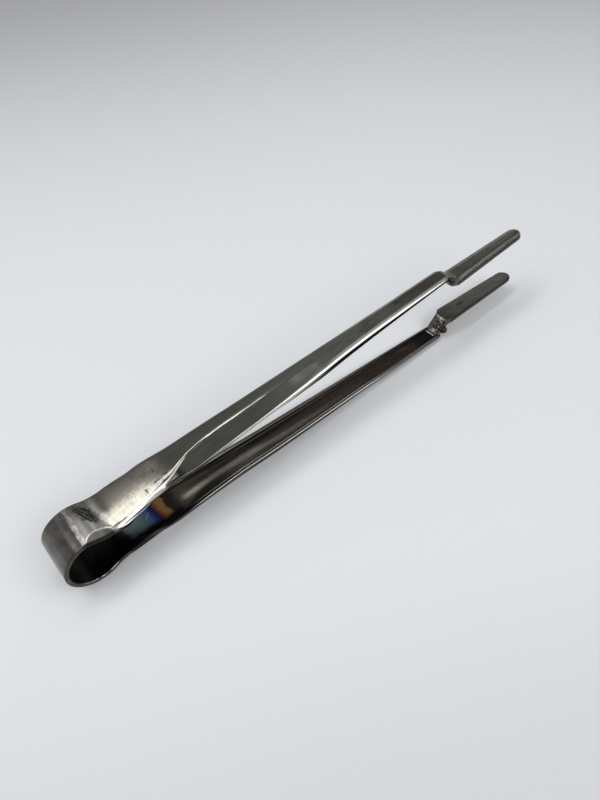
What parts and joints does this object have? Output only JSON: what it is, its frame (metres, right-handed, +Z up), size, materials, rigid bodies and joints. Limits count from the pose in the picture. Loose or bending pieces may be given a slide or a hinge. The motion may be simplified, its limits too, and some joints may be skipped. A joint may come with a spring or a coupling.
{
  "type": "flameworking crimps",
  "caption": "Sprung steel crimps for hot glass: a strip bent into an open bow and two channelled arms, with round-ended flat blades welded at their ends.",
  "frame": {"origin": "middle of the footprint box of the tool, on the bench", "axes": "+X along the tool towards the blade tips, +Y across the strip, +Z up from the bench; the lower arm lies flush on Z = 0"},
  "size_m": [0.2542, 0.0184, 0.0361],
  "materials": {
    "spring_steel": "satin ground spring steel, heat tinted inside the lower arm",
    "forged_steel": "dark satin oxide",
    "weld_metal": "rippled weld metal, bright on the crests and dark between"
  },
  "bodies": {
    "bow": {"spring_bow": "spring_steel"},
    "upper_jaw": {"upper_arm": "spring_steel", "upper_blade": "forged_steel", "upper_end_weld": "weld_metal", "upper_root_weld": "weld_metal", "upper_side_weld": "weld_metal"},
    "lower_jaw": {"lower_arm": "spring_steel", "lower_blade": "forged_steel", "lower_end_weld": "weld_metal", "lower_root_weld": "weld_metal", "lower_side_weld": "weld_metal"}
  },
  "joints": [
    {"name": "upper_squeeze", "type": "hinge", "parent": "bow", "child": "upper_jaw", "pos_m": [-0.10618, 0, 0.01947], "axis": [0, 1, 0], "range_deg": [0, 2.85], "stiffness_Nm_per_rad": 24},
    {"name": "lower_squeeze", "type": "hinge", "parent": "bow", "child": "lower_jaw", "pos_m": [-0.10563, 0, 0.00412], "axis": [0, -1, 0], "range_deg": [0, 2.85], "stiffness_Nm_per_rad": 24}
  ],
  "couplings": [
    {"joint": "lower_squeeze", "follows": "upper_squeeze", "ratio": 1}
  ]
}
